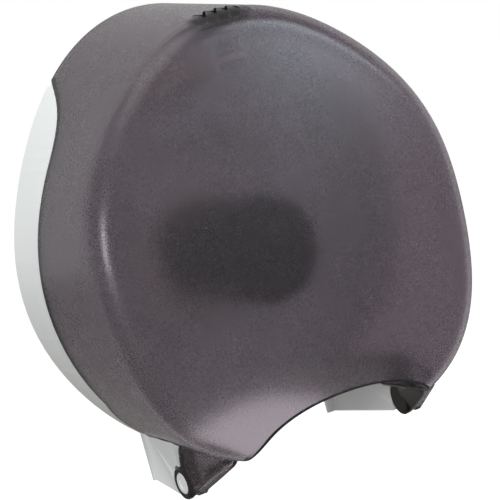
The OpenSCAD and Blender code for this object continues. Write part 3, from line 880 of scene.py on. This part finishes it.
def build_strip(side, node, name):
    """A black band on the inner face of an ear, with a row of pointed teeth."""
    latch = settings().latch
    low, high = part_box(node)
    tip = EAR_RADIUS + STRIP_TIP
    root = tip - latch.tooth
    start, end = math.radians(STRIP_START), math.radians(STRIP_END)
    step = (end - start) / latch.teeth
    band = arc(HINGE[1], HINGE[2], root, STRIP_START, STRIP_END, STRIP_STEPS)
    band += arc(HINGE[1], HINGE[2], EAR_RADIUS - STRIP_BAND, STRIP_END, STRIP_START, STRIP_STEPS)
    strip = prism(name, band, low.x, high.x, material=black_plastic())
    half = root * math.tan(step / 2)
    depth = high.x - low.x
    wedge = [(-TOOTH_ROOT, -half, 0), (-TOOTH_ROOT, half, 0), (latch.tooth, 0, 0),
             (-TOOTH_ROOT, -half, depth), (-TOOTH_ROOT, half, depth), (latch.tooth, 0, depth)]
    faces = [[2, 1, 0], [3, 4, 5], [0, 1, 4, 3], [1, 2, 5, 4], [2, 0, 3, 5]]
    teeth = repeated(
        "teeth", solid("tooth", wedge, faces), black_plastic(), Count=latch.teeth, Radius=root,
        Start=start + step / 2, Step=step, Turn=ring_turn("X"), Place=(low.x, HINGE[1], HINGE[2]),
    )
    dress(join(strip, teeth), node)


def build_screws(node, name, head, head_height, reach, **ring):
    """Domed screws with a cross recess, standing on a ring with their heads towards its -Z side."""
    latch = settings().latch
    profile = [(-head_height * up, head * out) for up, out in SCREW_DOME]
    profile += [(0, SHANK_RADIUS), (reach, SHANK_RADIUS)]
    screw = turned("screw", profile, Matrix.Identity(4), zinc_steel(), SCREW_FACETS)
    arm = head * CROSS_REACH
    top, floor = -head_height - CUT_ROOM, -head_height * CROSS_FLOOR
    for long, wide in ((arm, latch.cross / 2), (latch.cross / 2, arm)):
        carve(screw, box("cross", (-long, -wide, top), (long, wide, floor), zinc_steel()))
    smooth(screw, SCREW_SHARP)
    dress(repeated(name, screw, zinc_steel(), **ring), node)


def build_plate_screws(node, count, start, radius):
    """Screws in the back plate, on a ring that faces the room."""
    low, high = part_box(node)
    middle = (low + high) / 2
    build_screws(
        node, node + "_ring", settings().latch.screw_head, PLATE_SCREW_HEIGHT, PLATE_SCREW_REACH,
        Count=count, Radius=radius, Start=start, Step=2 * math.pi / count,
        Turn=ring_turn("Y"), Place=(0, low.y + PLATE_SCREW_HEIGHT, middle.z),
    )


def build_catch_screws():
    """Two screws that hold the catch, with their heads below it."""
    low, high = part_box("catch_screws")
    build_screws(
        "catch_screws", "catch_screws_ring", CATCH_SCREW_HEAD, CATCH_SCREW_HEIGHT,
        high.z - low.z - CATCH_SCREW_HEIGHT, Count=2, Radius=CATCH_SCREW_RING, Start=0.0, Step=math.pi,
        Turn=ring_turn("Z"), Place=(0, (low.y + high.y) / 2, low.z + CATCH_SCREW_HEIGHT),
    )


def build_drum():
    """The drum that carries the core: two tubes joined by webs."""
    hub = settings().hub
    low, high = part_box("hub_drum")
    middle = (low + high) / 2
    radius = (high.x - low.x) / 2
    place = Matrix.Translation((0, 0, middle.z)) @ Matrix(((1, 0, 0), (0, 0, 1), (0, -1, 0))).to_4x4()
    black = black_plastic()
    rim = radius - DRUM_CHAMFER
    outer = [(low.y, rim), (low.y + DRUM_CHAMFER, radius), (high.y - DRUM_CHAMFER, radius), (high.y, rim)]
    drum = turned("drum", outer, place, black, DRUM_FACETS)
    inside = radius - hub.drum_wall
    hollow = [(low.y - CUT_ROOM, inside), (high.y + CUT_ROOM, inside)]
    carve(drum, turned("hollow", hollow, place, black, DRUM_FACETS))
    core = [(low.y + CORE_REAR_GAP, DRUM_CORE), (high.y - CORE_FRONT_GAP, DRUM_CORE)]
    tube = turned("tube", core, place, black, CORE_FACETS)
    half = hub.web_thickness / 2
    web = box("web", (DRUM_CORE - CUT_ROOM, -half, -high.y + WEB_END_GAP),
              (radius - hub.drum_wall / 2, half, -low.y - WEB_END_GAP))
    webs = repeated("webs", web, black, Count=hub.webs, Radius=0.0, Start=0.0,
                    Step=2 * math.pi / hub.webs, Turn=(math.pi / 2, 0, 0), Place=(0, 0, middle.z))
    carve(drum, tube, "UNION")
    carve(drum, webs, "UNION")
    bore = [(low.y - BUSH_ROOM, BUSH_SEAT), (high.y + BUSH_ROOM, BUSH_SEAT)]
    carve(drum, turned("bore", bore, place, black, CORE_FACETS))
    smooth(drum, SMALL_SHARP)
    dress(drum, "hub_drum")


def build_softened(node, width):
    """A node's own shape with its edges rounded."""
    piece = merged_copy(node, node + "_soft", FINISHES[SLOT_OF[node]]())
    soften(piece, width)
    smooth(piece, SMALL_SHARP)
    dress(piece, node)


# Nodes whose own shape is kept, and the width of their rounded edges
SOFTENED = {
    "hub": (("hub_cap", 0.0009), ("hub_axle", 0.0004), ("thrust_washer", 0.0003), ("axle_washer", 0.0002),
            ("axle_clip", 0.0002), ("spindle_flange", 0.0005), ("hub_bush_rear", 0.0004),
            ("hub_bush_front", 0.0004)),
    "latch": (("latch_bracket", 0.0005), ("latch_bar", 0.0005), ("key_guide", 0.0004),
              ("cover_catch", 0.0003)),
}


class SceneSettings(bpy.types.PropertyGroup):
    """All settings of the dispenser."""

    cover: PointerProperty(type=CoverSettings)
    housing: PointerProperty(type=HousingSettings)
    hub: PointerProperty(type=HubSettings)
    latch: PointerProperty(type=LatchSettings)
    stage: PointerProperty(type=StageSettings)


class DISPENSER_OT_stage(bpy.types.Operator):
    """Place the camera, the floor, the lamps and the sky"""

    bl_idname = "dispenser.stage"
    bl_label = "Stage"

    def execute(self, context):
        stage = settings().stage
        place_camera(stage)
        make_floor(stage)
        make_lamps()
        make_sky(stage)
        context.scene.view_settings.view_transform = "Standard"
        return {"FINISHED"}


class DISPENSER_OT_finishes(bpy.types.Operator):
    """Give every CAD node its finish"""

    bl_idname = "dispenser.finishes"
    bl_label = "Finishes"

    def execute(self, context):
        for node, thing in frame["nodes"].items():
            material = FINISHES[SLOT_OF[node]]()
            if not thing.material_slots:
                thing.data.materials.append(material)
            for slot in thing.material_slots:
                slot.material = material
        return {"FINISHED"}


class DISPENSER_OT_cover(bpy.types.Operator):
    """Build the domed smoke cover with its feet, arch and key slot"""

    bl_idname = "dispenser.cover"
    bl_label = "Cover"

    def execute(self, context):
        build_cover()
        return {"FINISHED"}


class DISPENSER_OT_housing(bpy.types.Operator):
    """Build the pale housing and the two hinge pins"""

    bl_idname = "dispenser.housing"
    bl_label = "Housing"

    def execute(self, context):
        build_housing()
        build_pin(-1, "hinge_pin_left", "pin_left")
        build_pin(1, "hinge_pin_right", "pin_right")
        return {"FINISHED"}


class DISPENSER_OT_hub(bpy.types.Operator):
    """Build the roll hub on its axle"""

    bl_idname = "dispenser.hub"
    bl_label = "Hub"

    def execute(self, context):
        build_drum()
        for node, width in SOFTENED["hub"]:
            build_softened(node, width)
        return {"FINISHED"}


class DISPENSER_OT_latch(bpy.types.Operator):
    """Build the key latch below the top of the cover"""

    bl_idname = "dispenser.latch"
    bl_label = "Latch"

    def execute(self, context):
        for node, width in SOFTENED["latch"]:
            build_softened(node, width)
        return {"FINISHED"}


class DISPENSER_OT_fixings(bpy.types.Operator):
    """Build the screws and the two tear strips"""

    bl_idname = "dispenser.fixings"
    bl_label = "Fixings"

    def execute(self, context):
        low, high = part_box("bracket_screws")
        bracket_ring = (high.x - low.x) / 2 - settings().latch.screw_head
        build_plate_screws("spindle_screws", 4, math.pi / 4, FLANGE_SCREW_RING)
        build_plate_screws("bracket_screws", 2, math.pi / 2, bracket_ring)
        build_catch_screws()
        build_strip(-1, "tear_strip_left", "strip_left")
        build_strip(1, "tear_strip_right", "strip_right")
        return {"FINISHED"}


class DISPENSER_PT_panel(bpy.types.Panel):
    """Settings and steps of the dispenser"""

    bl_label = "Dispenser"
    bl_idname = "DISPENSER_PT_panel"
    bl_space_type = "VIEW_3D"
    bl_region_type = "UI"
    bl_category = "Dispenser"

    def draw(self, context):
        for name in ("cover", "housing", "hub", "latch", "stage"):
            group = getattr(context.scene.dispenser, name)
            area = self.layout.box()
            area.label(text=name.capitalize())
            for item in group.bl_rna.properties:
                if item.identifier not in ("rna_type", "name"):
                    area.prop(group, item.identifier)
        for step in STEPS:
            self.layout.operator("dispenser." + step)


STEPS = ("stage", "finishes", "cover", "housing", "hub", "latch", "fixings")
CLASSES = (
    CoverSettings, HousingSettings, HubSettings, LatchSettings, StageSettings, SceneSettings,
    DISPENSER_OT_stage, DISPENSER_OT_finishes, DISPENSER_OT_cover, DISPENSER_OT_housing,
    DISPENSER_OT_hub, DISPENSER_OT_latch, DISPENSER_OT_fixings, DISPENSER_PT_panel,
)


# Stage: where the camera points, the floor, and each lamp's place, side, power and colour
CAMERA_AIM_Y = -0.0651
CAMERA_RIGHT = 0.00419
CAMERA_DOWN = 0.01529
SENSOR_WIDTH = 36
FLOOR_REACH = 4
FLOOR_TONE = (0.24, 0.23, 0.21, 1)
SHOWN_TONE = (0.4, 0.4, 0.4, 1)
SHOWN_GLOW = 0.78
LAMP_AIM = (0, -0.065, 0)
LAMPS = (
    ("top_lamp", (-0.3, -0.5, 1.6), 1.3, 12.0, (1, 0.99, 0.97)),
    ("right_lamp", (1.15, -1.35, 0.7), 0.8, 16.0, (0.8, 0.9, 1)),
    ("left_lamp", (-1.3, -1.35, 0.35), 0.5, 14.0, (1, 0.94, 0.97)),
)


def place_camera(stage):
    """The photograph's view: from the left, a little above, and rolled."""
    turn, rise, roll = stage.turn, stage.rise, stage.roll
    ahead = Vector((math.sin(turn) * math.cos(rise), math.cos(turn) * math.cos(rise), -math.sin(rise)))
    right = Vector((math.cos(turn), -math.sin(turn), 0))
    up = right.cross(ahead)
    middle = Vector((0, CAMERA_AIM_Y, 0))
    place = middle - ahead * stage.distance + right * CAMERA_RIGHT - up * CAMERA_DOWN
    camera_right = math.cos(roll) * right - math.sin(roll) * up
    camera_up = math.sin(roll) * right + math.cos(roll) * up
    data = bpy.data.cameras.new("camera")
    data.lens = stage.lens
    data.sensor_width = SENSOR_WIDTH
    camera = bpy.data.objects.new("camera", data)
    bpy.context.scene.collection.objects.link(camera)
    facing = Matrix((camera_right, camera_up, -ahead)).transposed().to_4x4()
    camera.matrix_world = Matrix.Translation(place) @ facing
    bpy.context.scene.camera = camera


def make_floor(stage):
    """A pale floor: the camera sees it almost white, and it keeps the shadow."""
    corners = [(x * FLOOR_REACH, y * FLOOR_REACH, -stage.floor_drop) for x, y in
               ((-1, -1), (1, -1), (1, 1), (-1, 1))]
    floor = solid("floor", corners, [[0, 1, 2, 3]])
    material = bpy.data.materials.new("floor")
    material.use_nodes = True
    tree = material.node_tree
    tree.nodes.clear()
    pale = add(tree, "ShaderNodeBsdfDiffuse", {"Color": FLOOR_TONE})
    soft = add(tree, "ShaderNodeBsdfDiffuse", {"Color": SHOWN_TONE})
    bright = add(tree, "ShaderNodeEmission", {"Color": (1, 1, 1, 1), "Strength": SHOWN_GLOW})
    shown = add(tree, "ShaderNodeAddShader", {0: soft.outputs[0], 1: bright.outputs[0]})
    seen = seen_directly(tree)
    mixed = add(tree, "ShaderNodeMixShader", {0: seen, 1: pale.outputs[0], 2: shown.outputs[0]})
    add(tree, "ShaderNodeOutputMaterial", {"Surface": mixed.outputs[0]})
    floor.data.materials.append(material)


def seen_directly(tree):
    """1 for rays from the camera, also through the smoke cover."""
    path = add(tree, "ShaderNodeLightPath")
    rays = {0: path.outputs["Is Camera Ray"], 1: path.outputs["Is Transmission Ray"]}
    return add(tree, "ShaderNodeMath", rays, operation="MAXIMUM").outputs[0]


def make_lamps():
    """Square soft lamps that point at the object."""
    for name, place, size, power, tone in LAMPS:
        data = bpy.data.lights.new(name, "AREA")
        data.shape = "SQUARE"
        data.size = size
        data.energy = power
        data.color = tone
        lamp = bpy.data.objects.new(name, data)
        lamp.location = place
        aim = Vector(LAMP_AIM) - Vector(place)
        lamp.rotation_euler = aim.to_track_quat("-Z", "Y").to_euler()
        bpy.context.scene.collection.objects.link(lamp)


def make_sky(stage):
    """Even light from all sides, in front of white for the camera."""
    world = bpy.data.worlds.new("sky")
    bpy.context.scene.world = world
    world.use_nodes = True
    tree = world.node_tree
    tree.nodes.clear()
    even = add(tree, "ShaderNodeBackground", {"Color": (1, 1, 1, 1), "Strength": stage.sky})
    white = add(tree, "ShaderNodeBackground", {"Color": (1, 1, 1, 1), "Strength": 1.0})
    parts = {0: seen_directly(tree), 1: even.outputs[0], 2: white.outputs[0]}
    mixed = add(tree, "ShaderNodeMixShader", parts)
    add(tree, "ShaderNodeOutputWorld", {"Surface": mixed.outputs[0]})


def register():
    for item in CLASSES:
        bpy.utils.register_class(item)
    bpy.types.Scene.dispenser = PointerProperty(type=SceneSettings)


def unregister():
    del bpy.types.Scene.dispenser
    for item in reversed(CLASSES):
        bpy.utils.unregister_class(item)


def main():
    """Builds everything."""
    register()
    for step in STEPS:
        getattr(bpy.ops.dispenser, step)()


if __name__ == "__main__":
    main()
